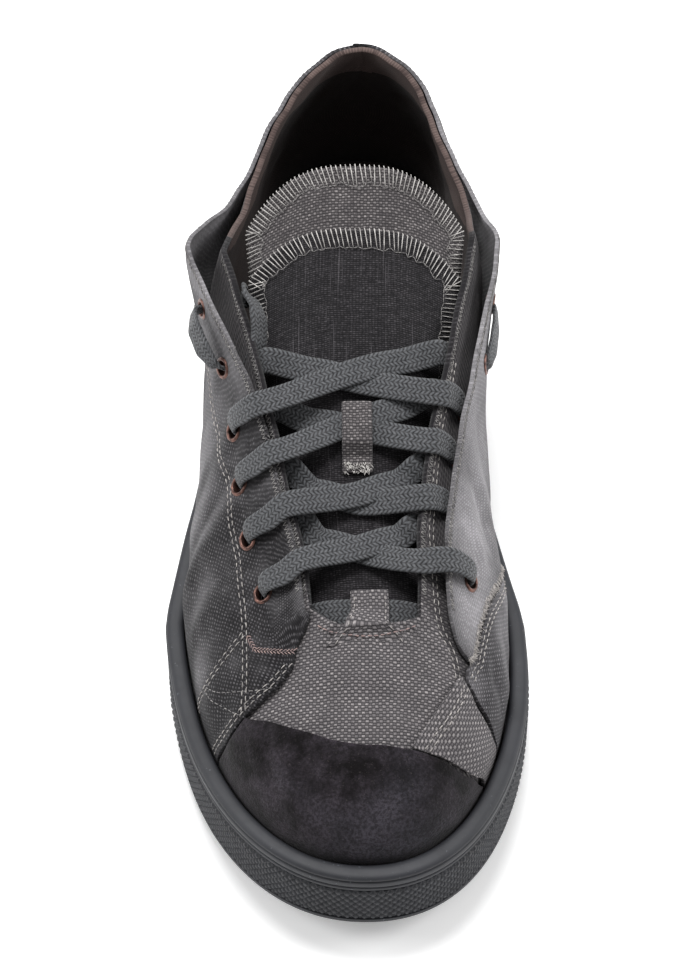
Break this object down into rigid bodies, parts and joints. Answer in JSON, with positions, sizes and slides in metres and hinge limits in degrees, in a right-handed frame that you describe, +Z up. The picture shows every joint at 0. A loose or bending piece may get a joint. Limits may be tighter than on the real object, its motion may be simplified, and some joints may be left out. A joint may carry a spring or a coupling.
{
  "type": "worn low canvas sneaker",
  "caption": "Worn low sneaker in washed canvas, hollow upper on a cup sole, with a suede toe cap, a double tongue and flat laces run loosely through metal eyelets.",
  "frame": {"origin": "on the floor under the middle of the shoe's box", "axes": "+Z up, the toe to -Y and the heel to +Y, the wearer's outer side at -X"},
  "size_m": [0.1092, 0.2996, 0.1091],
  "materials": {
    "slate_rubber": "satin moulded rubber",
    "washed_canvas": "washed woven canvas",
    "dark_canvas": "dark ribbed canvas",
    "black_suede": "scuffed suede",
    "brown_lining": "worn cloth lining",
    "slate_lace": "flat braided webbing",
    "copper_eyelet": "aged copper plating"
  },
  "bodies": {
    "root": {"cup_sole": "slate_rubber", "toe_bumper": "slate_rubber", "insole": "brown_lining", "upper": "washed_canvas", "toe_cap": "black_suede", "outer_quarter": "washed_canvas", "inner_quarter": "washed_canvas", "side_panel": "dark_canvas", "vamp_patch": "washed_canvas", "front_tongue": "dark_canvas", "rear_tongue": "washed_canvas", "tongue_keeper": "dark_canvas", "vamp_tab": "washed_canvas", "lace_bar": "slate_lace", "lace_pass_outer": "slate_lace", "lace_pass_inner": "slate_lace", "lace_end": "slate_lace", "lace_crossing_1": "slate_lace", "lace_crossing_2": "slate_lace", "lace_crossing_3": "slate_lace", "lace_crossing_4": "slate_lace", "eyelet_outer_1": "copper_eyelet", "eyelet_outer_2": "copper_eyelet", "eyelet_outer_3": "copper_eyelet", "eyelet_outer_4": "copper_eyelet", "eyelet_outer_5": "copper_eyelet", "eyelet_outer_6": "copper_eyelet", "eyelet_inner_1": "copper_eyelet", "eyelet_inner_2": "copper_eyelet", "eyelet_inner_3": "copper_eyelet", "eyelet_inner_4": "copper_eyelet", "eyelet_inner_5": "copper_eyelet", "eyelet_inner_6": "copper_eyelet"}
  },
  "joints": []
}
